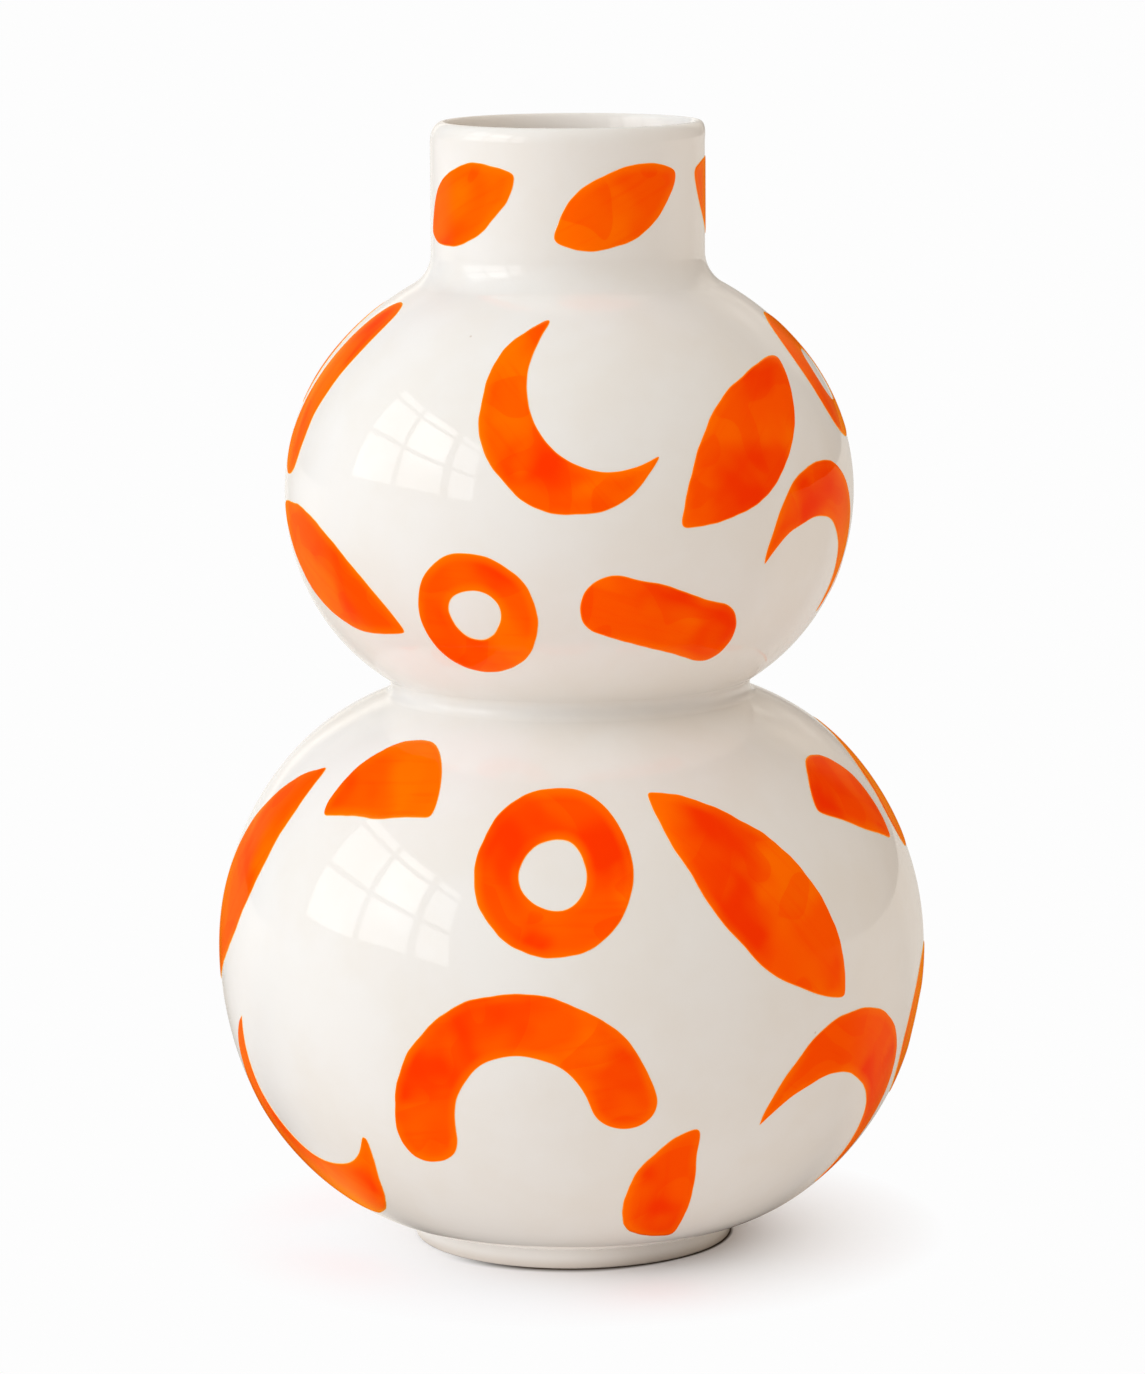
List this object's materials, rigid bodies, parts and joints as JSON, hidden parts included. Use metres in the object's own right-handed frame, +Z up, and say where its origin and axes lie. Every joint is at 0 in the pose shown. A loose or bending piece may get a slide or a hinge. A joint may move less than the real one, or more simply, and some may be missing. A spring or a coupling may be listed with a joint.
{
  "type": "ceramic vase",
  "caption": "Tall double-gourd vase of glazed ceramic with a short straight neck, a foot ring and orange brushed marks on a warm white ground.",
  "frame": {"origin": "centre of the foot ring, on the surface that the vase stands on", "axes": "+Z up along the vase's axis, -Y towards the camera, +X to the right in the picture"},
  "size_m": [0.2532, 0.2528, 0.4],
  "materials": {
    "glaze": "gloss",
    "mark": "gloss",
    "clay": "satin",
    "slip": "matt"
  },
  "bodies": {
    "root": {"foot_ring": "glaze", "foot_seam": "slip", "base_disc": "clay", "lower_bowl": "glaze", "lower_belly_seam": "slip", "lower_shoulder": "glaze", "waist_seam": "slip", "waist_collar": "glaze", "upper_bowl": "glaze", "upper_belly_seam": "slip", "upper_shoulder": "glaze", "neck_seam": "slip", "neck_collar": "glaze", "rim_lip": "glaze", "lower_leaves": "mark", "lower_arches": "mark", "lower_crescents": "mark", "lower_rings": "mark", "lower_half_moons": "mark", "upper_leaves": "mark", "upper_crescents": "mark", "upper_rings": "mark", "upper_bars": "mark", "neck_leaves": "mark"}
  },
  "joints": []
}
